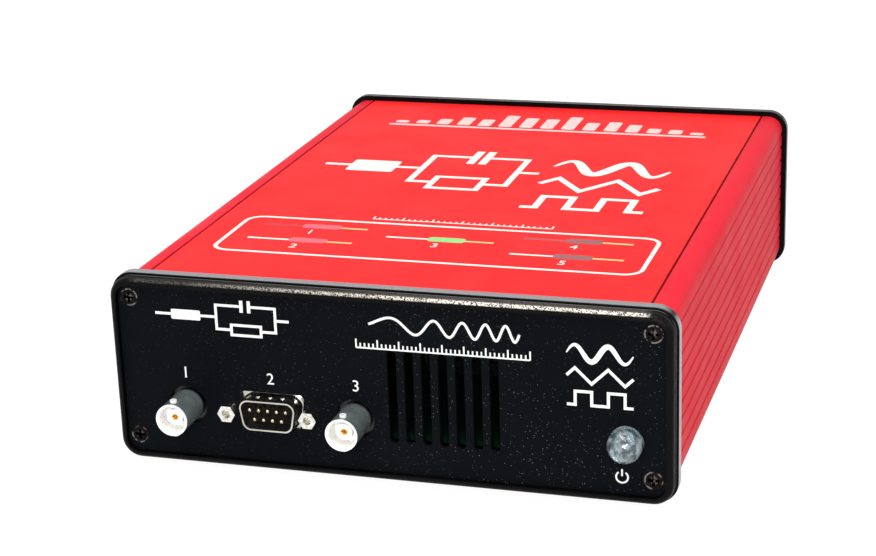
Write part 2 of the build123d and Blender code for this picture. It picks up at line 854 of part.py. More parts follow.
corner = radians(rocker_corner_angle)
under = radians(rocker_under_angle)
tilt = radians(rocker_tilt)
corner_out = rocker_end_r * sin(corner)
corner_up = rocker_end_r * cos(corner)
crease_out = corner_out - corner_up * tan(tilt)
under_out = -rocker_end_r * sin(under)
under_up = rocker_end_r * cos(under)
rocker_plane = Plane((switch_x, pivot_y, switch_z), x_dir=(0, cos(tilt), sin(tilt)), z_dir=(1, 0, 0))
with BuildPart() as switch_rocker:
    with BuildSketch(rocker_plane):
        with BuildLine():
            Polyline((corner_out, corner_up), (crease_out, 0), (corner_out, -corner_up))
            ThreePointArc((corner_out, -corner_up), (0, -rocker_end_r), (under_out, -under_up))
            Polyline(
                (under_out, -under_up),
                (under_out, -rocker_keel_w),
                (-rocker_keel, -rocker_keel_w / 2),
                (-rocker_keel, rocker_keel_w / 2),
                (under_out, rocker_keel_w),
                (under_out, under_up),
            )
            ThreePointArc((under_out, under_up), (0, rocker_end_r), (corner_out, corner_up))
        make_face()
    extrude(amount=rocker_w / 2, both=True)
    with BuildSketch(rocker_plane):
        Circle(trunnion_r)
    extrude(amount=rocker_w / 2 + trunnion_out, both=True)
save(switch_rocker, "switch_rocker")

tab_front = rear_face - switch_body_len - tab_len
with BuildPart() as switch_terminals:
    with BuildSketch(upright(rear_face - switch_body_len + (switch_body_len - switch_well_depth) / 2)):
        with Locations((switch_x, switch_z)):
            with GridLocations(0, tab_spacing, 1, 2):
                Rectangle(tab_w, tab_t)
    extrude(amount=tab_len + (switch_body_len - switch_well_depth) / 2)
save(switch_terminals, "switch_terminals")


def lead_pair(starts, name):
    """Insulated leads that run forward from their terminals and down into a header on the board."""
    with BuildPart() as leads:
        for x, y, z in starts:
            with BuildLine() as route:
                FilletPolyline(
                    (x, y, z),
                    (x, y - lead_drop_back, z),
                    (x, y - lead_drop_back, board_top + header_h),
                    radius=lead_bend_r,
                )
            with BuildSketch(Plane(route.wire() @ 0, z_dir=route.wire() % 0)):
                Circle(lead_r)
            sweep()
    save(leads, name)


# DC inlet
with BuildPart() as inlet_body:
    with BuildSketch(upright(rear_inner)):
        with Locations((inlet_x, board_top)):
            Rectangle(inlet_body_w, inlet_body_h, align=low)
    extrude(amount=inlet_body_len)
    with BuildSketch(upright(rear_inner)):
        with Locations((inlet_x, inlet_z)):
            Circle(inlet_hole_r - fit_gap)
    extrude(amount=-panel_t)
    with BuildSketch(upright(rear_face)):
        with Locations((inlet_x, inlet_z)):
            Circle(inlet_bore_r)
    extrude(amount=inlet_bore_depth, mode=Mode.SUBTRACT)
    with BuildSketch(upright(rear_face - inlet_bore_depth)):
        with Locations((inlet_x, inlet_z)):
            Circle(inlet_pin_r)
    extrude(amount=inlet_pin_seat, mode=Mode.SUBTRACT)
save(inlet_body, "inlet_body")

with BuildPart() as inlet_pin:
    with BuildSketch(upright(rear_face - inlet_pin_back)):
        with Locations((inlet_x, inlet_z)):
            Circle(inlet_pin_r)
    extrude(amount=inlet_bore_depth + inlet_pin_seat - inlet_pin_back)
    fillet(inlet_pin.faces().sort_by(Axis.Y)[-1].edges(), inlet_pin_r / 2)
save(inlet_pin, "inlet_pin")


def usb_profile(grow):
    """Upright socket outline with its two cut corners at the top."""
    with Locations((usb_x, usb_z)):
        Rectangle(usb_shell_w + 2 * grow, usb_shell_h + 2 * grow)
    chamfer(vertices().group_by(Axis.Y)[-1], usb_chamfer)


usb_rear = rear_face + usb_proud
with BuildPart() as usb_shell:
    with BuildSketch(upright(usb_rear)):
        usb_profile(0)
    extrude(amount=usb_shell_len)
    with BuildSketch(upright(usb_rear)):
        usb_profile(-usb_shell_t)
    extrude(amount=usb_shell_len - usb_shell_t, mode=Mode.SUBTRACT)
save(usb_shell, "usb_shell")

with BuildPart() as usb_core:
    with BuildSketch(upright(usb_rear - usb_shell_len + usb_shell_t)):
        usb_profile(-usb_shell_t - fit_gap)
    extrude(amount=-usb_core_t)
    with BuildSketch(upright(usb_rear - usb_shell_len + usb_shell_t)):
        with Locations((usb_x, usb_z)):
            Rectangle(usb_tongue_w, usb_tongue_h)
    extrude(amount=-(usb_shell_len - usb_shell_t - usb_tongue_back))
save(usb_core, "usb_core")

# Fan
fan_front = rear_inner - fan_depth
with BuildPart() as fan_frame:
    with BuildSketch(upright(rear_inner)):
        with Locations((fan_x, fan_z)):
            RectangleRounded(fan_size, fan_size, fan_corner_r)
            Circle(fan_bore_r, mode=Mode.SUBTRACT)
        with Locations(*fan_screw_points):
            Circle(fan_hole_r, mode=Mode.SUBTRACT)
    extrude(amount=fan_depth)
    with BuildSketch(upright(rear_inner)):
        with Locations((fan_x, fan_z)):
            Circle(fan_base_r)
            with PolarLocations(fan_bore_r / 2, fan_strut_count, start_angle=45):
                Rectangle(fan_bore_r + 0.5, fan_strut_w)
    extrude(amount=fan_base_t)
    with BuildSketch(upright(rear_inner - fan_base_t)):
        with Locations((fan_x, fan_z)):
            Circle(fan_tube_r)
    extrude(amount=fan_tube_len)
    with BuildSketch(upright(rear_inner - fan_base_t)):
        with Locations((fan_x, fan_z)):
            Circle(fan_shaft_r + fan_shaft_gap)
    extrude(amount=fan_tube_len, mode=Mode.SUBTRACT)
save(fan_frame, "fan_frame")

hub_rear = rear_inner - fan_base_t - fan_hub_gap
hub_front = hub_rear - fan_hub_len
blade_y = (hub_rear + hub_front) / 2
with BuildPart() as fan_rotor:
    with BuildSketch(upright(hub_rear)):
        with Locations((fan_x, fan_z)):
            Circle(fan_hub_r)
    extrude(amount=fan_hub_len)
    with BuildSketch(upright(hub_rear)):
        with Locations((fan_x, fan_z)):
            Circle(fan_hub_r - fan_hub_t)
    extrude(amount=fan_hub_len - fan_hub_t, mode=Mode.SUBTRACT)
    with BuildSketch(upright(hub_front)):
        with Locations((fan_x, fan_z)):
            Circle(fan_shaft_r)
    extrude(amount=-fan_hub_t - fan_shaft_len)
    for i in range(fan_blade_count):
        turn = radians(360 * i / fan_blade_count)
        outward = Vector(cos(turn), 0, sin(turn))
        middle = Vector(fan_x, blade_y, fan_z)
        for radius, width, pitch in (
            (fan_hub_r - fan_hub_t / 2, fan_blade_root_w, fan_blade_root_pitch),
            (fan_blade_tip_r, fan_blade_tip_w, fan_blade_tip_pitch),
        ):
            with BuildSketch(Plane(middle + outward * radius, x_dir=(0, 1, 0), z_dir=outward)):
                Rectangle(width, fan_blade_t, rotation=90 - pitch)
        loft()
save(fan_rotor, "fan_rotor")

with BuildPart() as fan_stator:
    with BuildSketch(upright(rear_inner - fan_base_t)):
        with Locations((fan_x, fan_z)):
            Circle(fan_core_r)
            with PolarLocations(fan_stator_r / 2, fan_stator_poles):
                Rectangle(fan_stator_r, fan_pole_w)
            Circle(fan_tube_r + fit_gap, mode=Mode.SUBTRACT)
    extrude(amount=fan_stator_t)
save(fan_stator, "fan_stator")

fan_screw_len = panel_t + fan_depth + fan_nut_t
with BuildPart() as fan_screws:
    with BuildSketch(upright(rear_face)):
        with Locations(*fan_screw_points):
            Circle(fan_screw_head_r)
    extrude(amount=-fan_screw_head_t)
    fillet(fan_screws.faces().group_by(Axis.Y)[-1].edges(), fan_screw_head_edge)
    with BuildSketch(upright(rear_face)):
        with Locations(*fan_screw_points):
            Circle(fan_screw_r)
    extrude(amount=fan_screw_len)
    with BuildSketch(upright(rear_face + fan_screw_head_t)):
        with Locations(*fan_screw_points):
            Rectangle(cross_len, cross_w)
            Rectangle(cross_w, cross_len)
    extrude(amount=cross_depth, mode=Mode.SUBTRACT)
save(fan_screws, "fan_screws")

with BuildPart() as fan_nuts:
    with BuildSketch(upright(fan_front)):
        with Locations(*fan_screw_points):
            RegularPolygon(fan_nut_r, 6)
            Circle(fan_screw_r + fit_gap, mode=Mode.SUBTRACT)
    extrude(amount=fan_nut_t)
save(fan_nuts, "fan_nuts")

# Leads and the headers that take them
switch_starts = [
    (switch_x + side * lead_spacing / 2, tab_front, switch_z + side * tab_spacing / 2) for side in (-1, 1)
]
fan_starts = [
    (fan_x + fan_lead_x + side * lead_spacing / 2, fan_front, case_bottom + fan_lead_height)
    for side in (-1, 1)
]
lead_pair(switch_starts, "switch_leads")
lead_pair(fan_starts, "fan_leads")

with BuildPart() as wire_headers:
    with BuildSketch(Plane.XY.offset(board_top)):
        with Locations(
            (switch_x, tab_front - lead_drop_back), (fan_x + fan_lead_x, fan_front - lead_drop_back)
        ):
            Rectangle(header_w, header_len)
    extrude(amount=header_h)
save(wire_headers, "wire_headers")

# Heat sink and power transistors
with BuildPart() as heat_sink:
    with BuildSketch(upright(board_front + sink_y + sink_len)):
        with Locations((sink_x, board_top)):
            Rectangle(sink_w, sink_base_t, align=low)
            with GridLocations((sink_w - sink_fin_t) / (sink_fin_count - 1), 0, sink_fin_count, 1):
                Rectangle(sink_fin_t, sink_h, align=low)
    extrude(amount=sink_len)
save(heat_sink, "heat_sink")

with BuildPart() as power_transistors:
    tab_x = sink_x - sink_w / 2
    for i in range(transistor_count):
        spot = board_front + sink_y + sink_len / 2 + (i - (transistor_count - 1) / 2) * transistor_pitch
        with BuildSketch(Plane.XY.offset(board_top + transistor_leg_h)):
            with Locations((tab_x - transistor_t / 2, spot)):
                Rectangle(transistor_t, transistor_w)
        extrude(amount=transistor_h)
        with BuildSketch(Plane.XY.offset(board_top + transistor_leg_h + transistor_h)):
            with Locations((tab_x - transistor_tab_t / 2, spot)):
                Rectangle(transistor_tab_t, transistor_w)
        extrude(amount=transistor_tab_h)
        with BuildSketch(Plane.XY.offset(board_top)):
            with Locations((tab_x - transistor_t / 2, spot)):
                Rectangle(transistor_leg_t, transistor_leg_w)
        extrude(amount=transistor_leg_h)
save(power_transistors, "power_transistors")

# Screening can over the input stage
with BuildPart() as shield_can:
    with BuildSketch(Plane.XY.offset(board_top)):
        with Locations((can_x, board_front + can_y)):
            Rectangle(can_w, can_len)
    extrude(amount=can_h)
    with BuildSketch(Plane.XY.offset(board_top)):
        with Locations((can_x, board_front + can_y)):
            Rectangle(can_w - 2 * can_t, can_len - 2 * can_t)
    extrude(amount=can_h - can_t, mode=Mode.SUBTRACT)
    with BuildSketch(Plane.XY.offset(board_top + can_h)):
        with Locations((can_x, board_front + can_y)):
            with GridLocations(can_hole_pitch, can_hole_pitch, 4, 3):
                Circle(can_hole_r)
    extrude(amount=-can_t, mode=Mode.SUBTRACT)
save(shield_can, "shield_can")

with BuildPart() as relays:
    with BuildSketch(Plane.XY.offset(board_top)):
        with Locations((relay_x, board_front + relay_y)):
            with GridLocations(relay_pitch, 0, relay_count, 1, align=(Align.MIN, Align.CENTER)):
                Rectangle(relay_w, relay_len)
    extrude(amount=relay_h)
    chamfer(relays.faces().group_by(Axis.Z)[-1].edges(), relay_edge)
save(relays, "relays")

with BuildPart() as processor_chip:
    with BuildSketch(Plane.XY.offset(board_top)):
        with Locations((processor_x, board_front + processor_y)):
            Rectangle(processor_w, processor_w)
    extrude(amount=processor_h)
save(processor_chip, "processor_chip")

with BuildPart() as signal_chips:
    with BuildSketch(Plane.XY.offset(board_top)):
        with Locations((chip_x, board_front + chip_y)):
            with GridLocations(chip_pitch_x, chip_pitch_y, 2, 3, align=(Align.MIN, Align.MIN)):
                Rectangle(chip_w, chip_len)
    extrude(amount=chip_h)
save(signal_chips, "signal_chips")

with BuildPart() as capacitors:
    with BuildSketch(Plane.XY.offset(board_top)):
        with Locations((capacitor_x, board_front + capacitor_y)):
            with GridLocations(capacitor_pitch, capacitor_pitch, 3, 2, align=(Align.MIN, Align.MIN)):
                Circle(capacitor_r)
    extrude(amount=capacitor_h)
    chamfer(capacitors.faces().group_by(Axis.Z)[-1].edges(), capacitor_edge)
save(capacitors, "capacitors")

with BuildPart() as converters:
    with BuildSketch(Plane.XY.offset(board_top)):
        for i in range(converter_count):
            with Locations((case_w / 2 - converter_inset, board_front + converter_y + i * converter_pitch)):
                Rectangle(converter_w, converter_len)
    extrude(amount=converter_h)
    chamfer(converters.faces().group_by(Axis.Z)[-1].edges(), relay_edge)
save(converters, "converters")
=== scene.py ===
import math

import bpy
from mathutils import Matrix, Vector


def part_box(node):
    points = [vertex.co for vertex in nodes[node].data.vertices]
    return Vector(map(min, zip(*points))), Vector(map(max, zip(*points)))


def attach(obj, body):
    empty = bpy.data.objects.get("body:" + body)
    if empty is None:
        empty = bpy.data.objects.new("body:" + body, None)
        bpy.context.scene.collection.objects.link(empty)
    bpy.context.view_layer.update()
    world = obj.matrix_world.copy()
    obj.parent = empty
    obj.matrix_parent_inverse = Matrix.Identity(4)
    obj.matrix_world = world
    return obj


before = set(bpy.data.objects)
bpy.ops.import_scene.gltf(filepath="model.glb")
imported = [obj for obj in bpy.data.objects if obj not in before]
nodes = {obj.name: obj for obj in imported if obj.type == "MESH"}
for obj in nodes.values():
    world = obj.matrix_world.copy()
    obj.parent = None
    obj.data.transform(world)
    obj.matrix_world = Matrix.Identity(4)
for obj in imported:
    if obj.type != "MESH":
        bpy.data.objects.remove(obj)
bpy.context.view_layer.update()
scene = bpy.context.scene

# Places that the finishes and the print are laid out from, in metres
cover_low, cover_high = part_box("top_cover")
screws_low, screws_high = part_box("front_panel_screws")
TOP_Z = cover_high.z
FRONT_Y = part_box("front_panel")[0].y
MID_Y = (cover_low.y + cover_high.y) / 2
SEAM_X = 0.075  # the cover's edge
INNER_X = 0.0804  # the walls' inner face
FLOOR_Z = 0.0052  # the case floor's upper face
COVER_UNDER_Z = TOP_Z - 0.0020
HEAD_R = 0.00275  # panel screw's head
SCREW_X = screws_high.x - HEAD_R
SCREW_Z = (screws_low.z + HEAD_R, screws_high.z - HEAD_R)
FLANGE_LEN = 0.0034
RIM_REACH = cover_high.y - MID_Y + FLANGE_LEN
BAND_Z = TOP_Z - 0.0040  # where the painted highlight band on the bezel starts
BAND_END_X = 0.0745

# Film of print: its height over the plate, and the step that keeps crossing strokes apart
PRINT_T = 0.00003
PRINT_BACK = 0.000005
PRINT_STEP = 0.000001
PRINT_LEVELS = 31


# Materials
class Net:
    """A material's node tree with short calls for the nodes used here."""

    def __init__(self, name):
        self.mat = bpy.data.materials.new(name)
        self.mat.use_nodes = True
        self.tree = self.mat.node_tree
        self.bsdf = self.tree.nodes["Principled BSDF"]
        self.coord = self.tree.nodes.new("ShaderNodeTexCoord").outputs["Object"]

    def new(self, kind, **props):
        node = self.tree.nodes.new(kind)
        for key, value in props.items():
            setattr(node, key, value)
        return node

    def link(self, a, b):
        self.tree.links.new(a, b)

    def set(self, **values):
        names = {
            "metallic": "Metallic", "ior": "IOR", "trans": "Transmission Weight",
            "spec": "Specular IOR Level", "emit": "Emission Color",
        }
        for key, value in values.items():
            self.bsdf.inputs[names[key]].default_value = value

    def noise(self, scale, detail, rough=0.55, stretch=(1, 1, 1)):
        mapping = self.new("ShaderNodeMapping")
        mapping.inputs["Scale"].default_value = stretch
        self.link(self.coord, mapping.inputs["Vector"])
        tex = self.new("ShaderNodeTexNoise")
        tex.inputs["Scale"].default_value = scale
        tex.inputs["Detail"].default_value = detail
        tex.inputs["Roughness"].default_value = rough
        self.link(mapping.outputs["Vector"], tex.inputs["Vector"])
        return tex.outputs["Fac"]

    def parts(self, vector):
        """X, Y and Z of a vector, as three outputs."""
        node = self.new("ShaderNodeSeparateXYZ")
        self.link(vector, node.inputs[0])
        return node.outputs["X"], node.outputs["Y"], node.outputs["Z"]

    def ramp(self, value, low, high, a, b):
        """Maps value from low..high to a..b, clamped."""
        node = self.new("ShaderNodeMapRange")
        node.inputs["From Min"].default_value = low
        node.inputs["From Max"].default_value = high
        node.inputs["To Min"].default_value = a
        node.inputs["To Max"].default_value = b
        self.link(value, node.inputs["Value"])
        return node.outputs["Result"]

    def math(self, op, a, b=0.0):
        node = self.new("ShaderNodeMath", operation=op)
        for socket, value in zip(node.inputs, (a, b)):
            if isinstance(value, (int, float)):
                socket.default_value = value
            else:
                self.link(value, socket)
        return node.outputs[0]

    def size(self, value):
        return self.math("ABSOLUTE", value)

    def product(self, *values):
        result = values[0]
        for value in values[1:]:
            result = self.math("MULTIPLY", result, value)
        return result

    def mix(self, factor, a, b):
        node = self.new("ShaderNodeMix", data_type="RGBA")
        sockets = [s for s in node.inputs if s.enabled]
        for socket, value in zip(sockets, (factor, a, b)):
            if isinstance(value, (int, float)):
                socket.default_value = value
            elif isinstance(value, (tuple, list)):
                socket.default_value = (*value, 1.0)
            else:
                self.link(value, socket)
        return [s for s in node.outputs if s.enabled][0]

    def bump(self, height, distance, strength=1.0, after=None):
        node = self.new("ShaderNodeBump")
        node.inputs["Distance"].default_value = distance
        node.inputs["Strength"].default_value = strength
        self.link(height, node.inputs["Height"])
        if after is not None:
            self.link(after, node.inputs["Normal"])
        return node.outputs["Normal"]

    def to(self, name, value):
        self.link(value, self.bsdf.inputs[name])


def powder_red(name, base, dark, seam_shade):
    """Satin red powder coat with painted shade along the cover's seams, and painted near-black shade on its
    faces within the case.
    """
    n = Net(name)
    drift = n.mix(n.ramp(n.noise(9.0, 3.0), 0.35, 0.65, 0.0, 1.0), base, dark)
    x, _, z = n.parts(n.coord)
    out = n.size(x)
    # Painted shade: the seam colour darkens a band about half a millimetre either side of the cover's edge.
    away = n.size(n.math("SUBTRACT", out, SEAM_X))
    away = n.math("ADD", away, n.ramp(n.noise(300.0, 3.0), 0.3, 0.7, -0.0001, 0.0001))
    coat = n.mix(n.ramp(away, 0.0002, 0.0006, 1.0, 0.0), drift, seam_shade)
    # Painted shade: faces between the walls, the floor and the cover are coloured near-black.
    inside_shade = n.product(
        n.ramp(out, INNER_X, INNER_X + 0.0002, 1.0, 0.0),
        n.ramp(z, FLOOR_Z, FLOOR_Z + 0.0001, 0.0, 1.0),
        n.ramp(z, COVER_UNDER_Z, COVER_UNDER_Z + 0.0001, 1.0, 0.0),
    )
    n.to("Base Color", n.mix(inside_shade, coat, (0.006, 0.006, 0.006)))
    n.to("Roughness", n.ramp(n.noise(60.0, 3.0), 0.3, 0.7, 0.40, 0.50))
    n.to("Normal", n.bump(n.noise(1500.0, 3.0, 0.6), 0.00004, 0.55))
    n.set(spec=0.03)
    return n.mat


def black_powder(name):
    """Black powder coat with fine texture and pale sparkle flakes whose glints are painted into its colour,
    denser towards +X where the light catches them.
    """
    n = Net(name)
    cells = n.new("ShaderNodeTexVoronoi")
    cells.inputs["Scale"].default_value = 1600.0
    n.link(n.coord, cells.inputs["Vector"])
    pick = n.new("ShaderNodeSeparateColor")
    n.link(cells.outputs["Color"], pick.inputs[0])
    x = n.parts(n.coord)[0]
    # Partly real sparkle flakes, partly painted glints: pale flake colour, thinned towards -X.
    flake_glints = n.product(
        n.ramp(cells.outputs["Distance"], 0.06, 0.17, 1.0, 0.0),
        n.ramp(pick.outputs[0], 0.50, 0.95, 0.0, 1.0),
        n.ramp(n.noise(25.0, 2.0), 0.40, 0.60, 0.30, 1.0),
        n.ramp(x, -0.07, 0.03, 0.35, 1.0),
    )
    drift = n.mix(n.ramp(n.noise(30.0, 3.0), 0.3, 0.7, 0.0, 1.0),
                  (0.0022, 0.0030, 0.0042), (0.0030, 0.0040, 0.0054))
    n.to("Base Color", n.mix(flake_glints, drift, (0.42, 0.44, 0.46)))
    n.to("Roughness", n.ramp(n.noise(400.0, 2.0), 0.3, 0.7, 0.46, 0.62))
    n.to("Normal", n.bump(n.noise(2200.0, 3.0, 0.6), 0.00005, 0.5))
    n.set(spec=0.03)
    return n.mat


def grained_black(name):
    """Black moulding with a pebbled grain, with a painted highlight on its upper rounding and painted sheen
    round its flange.
    """
    n = Net(name)
    tone = n.mix(n.ramp(n.noise(40.0, 3.0), 0.3, 0.7, 0.0, 1.0),
                 (0.0012, 0.0012, 0.0014), (0.0026, 0.0024, 0.0024))
    facing_x, _, facing_z = n.parts(n.new("ShaderNodeTexCoord").outputs["Normal"])
    x, y, z = n.parts(n.coord)
    reach = n.size(n.math("SUBTRACT", y, MID_Y))
    rim = n.ramp(reach, RIM_REACH, RIM_REACH + 0.0003, 0.0, 1.0)
    # Painted highlight: pale grain on the rim's upward rounding, brighter towards +X.
    painted_rim_highlight = n.product(
        n.ramp(facing_z, 0.50, 0.66, 0.0, 1.0),
        n.ramp(facing_z, 0.90, 0.99, 1.0, 0.10),
        n.ramp(z, BAND_Z, BAND_Z + 0.001, 0.0, 1.0),
        n.ramp(n.size(x), BAND_END_X, BAND_END_X + 0.003, 1.0, 0.0),
        n.ramp(x, -0.06, 0.025, 0.06, 1.0),
        rim,
        n.ramp(n.noise(2300.0, 2.0, 0.6), 0.42, 0.54, 0.0, 1.0),
    )
    # Painted sheen and highlight on the flange's upward and side faces, fainter towards the rear bezel.
    flange = n.product(n.math("SUBTRACT", 1.0, rim), n.ramp(y, -0.05, 0.05, 1.0, 0.2))
    painted_top_sheen = n.product(n.ramp(facing_z, 0.75, 0.98, 0.0, 1.0), flange)
    painted_side_highlight = n.product(n.ramp(n.size(facing_x), 0.75, 0.98, 0.0, 1.0), flange)
    tone = n.mix(painted_top_sheen, tone, (0.22, 0.22, 0.23))
    tone = n.mix(painted_side_highlight, tone, (0.42, 0.40, 0.41))
    n.to("Base Color", n.mix(painted_rim_highlight, tone, (0.88, 0.80, 0.70)))
    n.to("Roughness", n.ramp(n.noise(250.0, 3.0), 0.3, 0.7, 0.24, 0.40))
    grain = n.bump(n.noise(1100.0, 3.0, 0.65), 0.00016, 0.75)
    n.to("Normal", n.bump(n.noise(260.0, 2.0), 0.00025, 0.25, grain))
    n.set(spec=0.07)
    return n.mat


def plastic(name, base, dark, rough=0.35, grain=1200.0, depth=0.00002, spec=0.5):
    """Moulded plastic between two shades, with a fine grain."""
    n = Net(name)
    n.to("Base Color", n.mix(n.ramp(n.noise(70.0, 3.0), 0.3, 0.7, 0.0, 1.0), base, dark))
    n.to("Roughness", n.ramp(n.noise(220.0, 3.0), 0.3, 0.7, rough * 0.85, rough * 1.25))
    n.to("Normal", n.bump(n.noise(grain, 3.0), depth, 0.6))
    n.set(spec=spec)
    return n.mat


def metal(name, base, dark, rough=0.2, stretch=(1, 1, 1), depth=0.00001, scale=900.0, metallic=1.0,
          tone=120.0):
    """Metal between two shades; stretch draws its fine marks out along an axis."""
    n = Net(name)
    n.to("Base Color", n.mix(n.ramp(n.noise(tone, 4.0), 0.35, 0.65, 0.0, 1.0), base, dark))
    n.to("Roughness", n.ramp(n.noise(scale, 3.0, 0.6, stretch), 0.3, 0.7, rough * 0.7, rough * 1.4))
    n.to("Normal", n.bump(n.noise(scale, 3.0, 0.6, stretch), depth, 0.5))
    n.set(metallic=metallic)
    return n.mat


def resin(name):
    """Water-clear resin with moulding ripple, its colour mottled with painted pale, uneven glints of the
    parts within it.
    """
    n = Net(name)
    # Painted glints: the pale half of the mottle stands in for glints off the lamp's parts within the lens.
    painted_glint_mottle = n.ramp(n.noise(420.0, 2.0, 0.5), 0.40, 0.60, 0.0, 1.0)
    n.to("Base Color", n.mix(painted_glint_mottle, (0.14, 0.22, 0.25), (0.80, 0.94, 0.98)))
    n.to("Roughness", n.ramp(n.noise(300.0, 2.0), 0.3, 0.7, 0.02, 0.06))
    n.to("Normal", n.bump(n.noise(300.0, 1.0), 0.00050, 0.8))
    n.set(trans=0.68, ior=1.52)
    return n.mat


def screw_finish(name):
    """Black oxide, with painted glints round the head's edge and in the cross."""
    n = Net(name)
    x, _, z = n.parts(n.coord)
    dx = n.math("SUBTRACT", n.size(x), SCREW_X)
    dz = n.math("MINIMUM", *[n.size(n.math("SUBTRACT", z, height)) for height in SCREW_Z])
    radius = n.math("SQRT", n.math("ADD", n.product(dx, dx), n.product(dz, dz)))
    ring = n.ramp(n.size(n.math("SUBTRACT", radius, HEAD_R - 0.00025)), 0.00012, 0.00030, 1.0, 0.0)
    cross = n.ramp(radius, 0.0009, 0.0014, 1.0, 0.0)
    # Painted glints: pale patches on a ring at the head's edge and in the cross.
    painted_glints = n.product(n.math("MAXIMUM", ring, n.product(cross, 0.7)),
                       n.ramp(n.noise(620.0, 2.0), 0.46, 0.58, 0.0, 1.0))
    oxide = n.mix(n.ramp(n.noise(300.0, 3.0), 0.3, 0.7, 0.0, 1.0),
                  (0.014, 0.011, 0.010), (0.007, 0.006, 0.006))
    n.to("Base Color", n.mix(painted_glints, oxide, (0.19, 0.18, 0.17)))
    n.to("Roughness", n.ramp(n.noise(900.0, 3.0), 0.3, 0.7, 0.18, 0.36))
    n.to("Normal", n.bump(n.noise(900.0, 3.0), 0.00003, 0.5))
    n.set(metallic=1.0)
    return n.mat


def jack_moulding(name):
    """Dark grey-green moulding, with painted black shade where it runs in behind the panel."""
    n = Net(name)
    # Painted shade: black behind the front panel's face.
    behind_panel_shade = n.ramp(n.parts(n.coord)[1], FRONT_Y - 0.0008, FRONT_Y + 0.0004, 0.0, 1.0)
    shade = n.mix(n.ramp(n.noise(260.0, 3.0), 0.3, 0.7, 0.0, 1.0),
                  (0.092, 0.116, 0.112), (0.062, 0.078, 0.077))
    n.to("Base Color", n.mix(behind_panel_shade, shade, (0.002, 0.002, 0.002)))
    n.to("Roughness", n.ramp(n.noise(300.0, 3.0), 0.3, 0.7, 0.22, 0.34))
    n.to("Normal", n.bump(n.noise(900.0, 3.0), 0.00002, 0.6))
    n.set(spec=0.45)
    return n.mat


def ink(name, color, wear=0.12):
    """Screen-printed ink with slight unevenness."""
    n = Net(name)
    dim = tuple(c * (1 - wear) for c in color)
    n.to("Base Color", n.mix(n.ramp(n.noise(500.0, 4.0), 0.35, 0.65, 0.0, 1.0), color, dim))
    n.to("Roughness", n.ramp(n.noise(900.0, 2.0), 0.3, 0.7, 0.45, 0.65))
    n.to("Normal", n.bump(n.noise(1800.0, 2.0), 0.00002, 0.4))
    n.set(spec=0.3)
    return n.mat


mats = {
    # The extrusion's red is a darker copy of the cover's: partly a real difference in coat, partly painted
    # shade for its side walls.
    "case_red": powder_red("case_red", (0.71, 0.017, 0.035), (0.66, 0.014, 0.030), (0.30, 0.006, 0.012)),
    "cover_red": powder_red("cover_red", (0.86, 0.022, 0.024), (0.81, 0.018, 0.020), (0.30, 0.006, 0.008)),
    "panel_black": black_powder("panel_black"),
    "bezel_black": grained_black("bezel_black"),
    "screw_black": screw_finish("screw_black"),
    "rubber": plastic("rubber", (0.012, 0.012, 0.012), (0.02, 0.02, 0.019), 0.75, 700.0, 0.00006, 0.3),
    "jack_grey": jack_moulding("jack_grey"),
    "jack_metal": metal("jack_metal", (0.98, 0.975, 0.96), (0.94, 0.93, 0.91), 0.30, metallic=0.3),
    "nickel": metal("nickel", (0.70, 0.68, 0.63), (0.50, 0.48, 0.43), 0.18),
    # Painted glints: the hex nickel's fine, strong pale-and-dark mottle stands in for glints on its faces.
    "hex_nickel": metal("hex_nickel", (0.97, 0.95, 0.90), (0.55, 0.53, 0.48), 0.16, depth=0.00003,
                        tone=700.0),
    "white_core": plastic("white_core", (0.98, 0.98, 0.96), (0.95, 0.95, 0.93), 0.5, 700.0),
    "gold": metal("gold", (0.95, 0.68, 0.28), (0.85, 0.55, 0.20), 0.2),
    "pin_gold": metal("pin_gold", (0.62, 0.52, 0.34), (0.50, 0.40, 0.25), 0.25),
    "black_plastic": plastic("black_plastic", (0.010, 0.010, 0.010), (0.018, 0.018, 0.018), 0.45),
    "deep_black": plastic("deep_black", (0.0025, 0.0025, 0.0025), (0.004, 0.004, 0.004), 0.5, spec=0.12),
    "resin": resin("resin"),
    "lead_frame": metal("lead_frame", (0.80, 0.81, 0.82), (0.62, 0.63, 0.65), 0.22),
    # Painted shade: the board's green is darkened to the shade it lies in within the case.
    "board_green": plastic("board_green", (0.0015, 0.012, 0.006), (0.0010, 0.008, 0.004), 0.6, 500.0,
                           spec=0.05),
    "anodised": metal("anodised", (0.03, 0.03, 0.032), (0.02, 0.02, 0.021), 0.4, (1, 8, 1)),
    "tin": metal("tin", (0.72, 0.72, 0.70), (0.60, 0.60, 0.58), 0.3),
    "relay": plastic("relay", (0.80, 0.79, 0.74), (0.72, 0.71, 0.66), 0.4),
    "sleeve_blue": plastic("sleeve_blue", (0.015, 0.03, 0.10), (0.01, 0.02, 0.07), 0.25),
    "copper": metal("copper", (0.72, 0.33, 0.17), (0.55, 0.22, 0.10), 0.35, (1, 1, 12), 0.00006, 1500.0),
    "insulation": plastic("insulation", (0.015, 0.015, 0.015), (0.025, 0.024, 0.023), 0.5),
    "socket_white": plastic("socket_white", (0.82, 0.82, 0.79), (0.74, 0.74, 0.71), 0.42),
}

